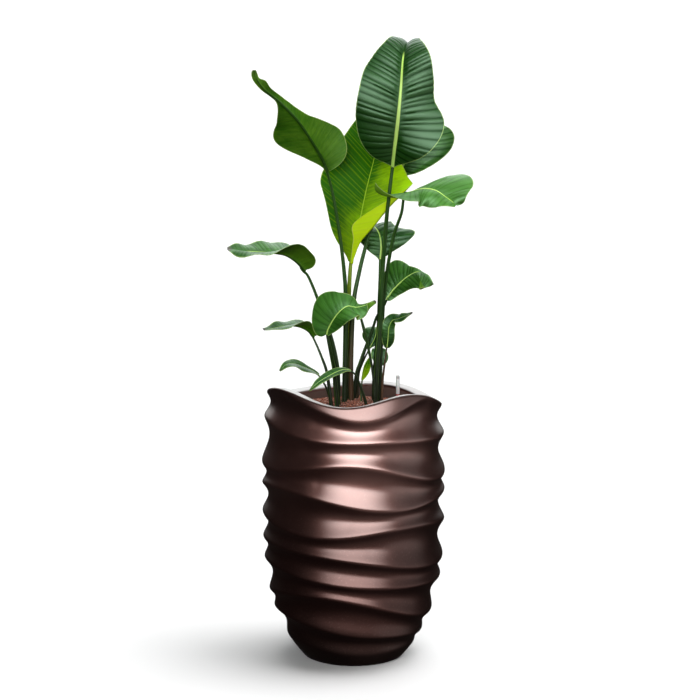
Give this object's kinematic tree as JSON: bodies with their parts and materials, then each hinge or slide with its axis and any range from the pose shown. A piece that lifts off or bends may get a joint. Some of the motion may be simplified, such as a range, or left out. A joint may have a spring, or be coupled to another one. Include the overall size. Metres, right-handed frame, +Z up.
{
  "type": "potted white bird of paradise",
  "caption": "Tall wavy bronze planter filled with granules, with broad paddle-shaped leaves on long stalks, one leaf still rolled up, and a slim water-level tube.",
  "frame": {"origin": "middle of the planter's foot, on the surface it stands on", "axes": "+Z up; -Y towards the front of the plant as pictured; +X to its right"},
  "size_m": [0.5534, 0.424, 1.428],
  "materials": {
    "planter": "satin metallic bronze coat on moulded resin",
    "granules": "loose matte baked clay granules",
    "clear_tube": "milky clear plastic",
    "leaf_dark": "glossy dark green leaf",
    "leaf_lime": "soft yellow-green young leaf"
  },
  "bodies": {
    "root": {"leaf_crown": "leaf_dark", "leaf_lime_tall": "leaf_lime", "leaf_left_high": "leaf_dark", "leaf_right_high": "leaf_dark", "leaf_right_spread": "leaf_dark", "leaf_right_back": "leaf_dark", "leaf_right_mid": "leaf_dark", "leaf_left_arch": "leaf_dark", "leaf_front": "leaf_dark", "leaf_left_low": "leaf_dark", "leaf_left_small": "leaf_dark", "leaf_front_small": "leaf_dark", "leaf_back_small": "leaf_dark", "leaf_right_low": "leaf_dark", "leaf_right_inner": "leaf_dark", "leaf_lime_small": "leaf_lime", "leaf_spear": "leaf_dark", "planter": "planter", "granule_filling": "granules", "water_level_tube": "clear_tube"}
  },
  "joints": []
}
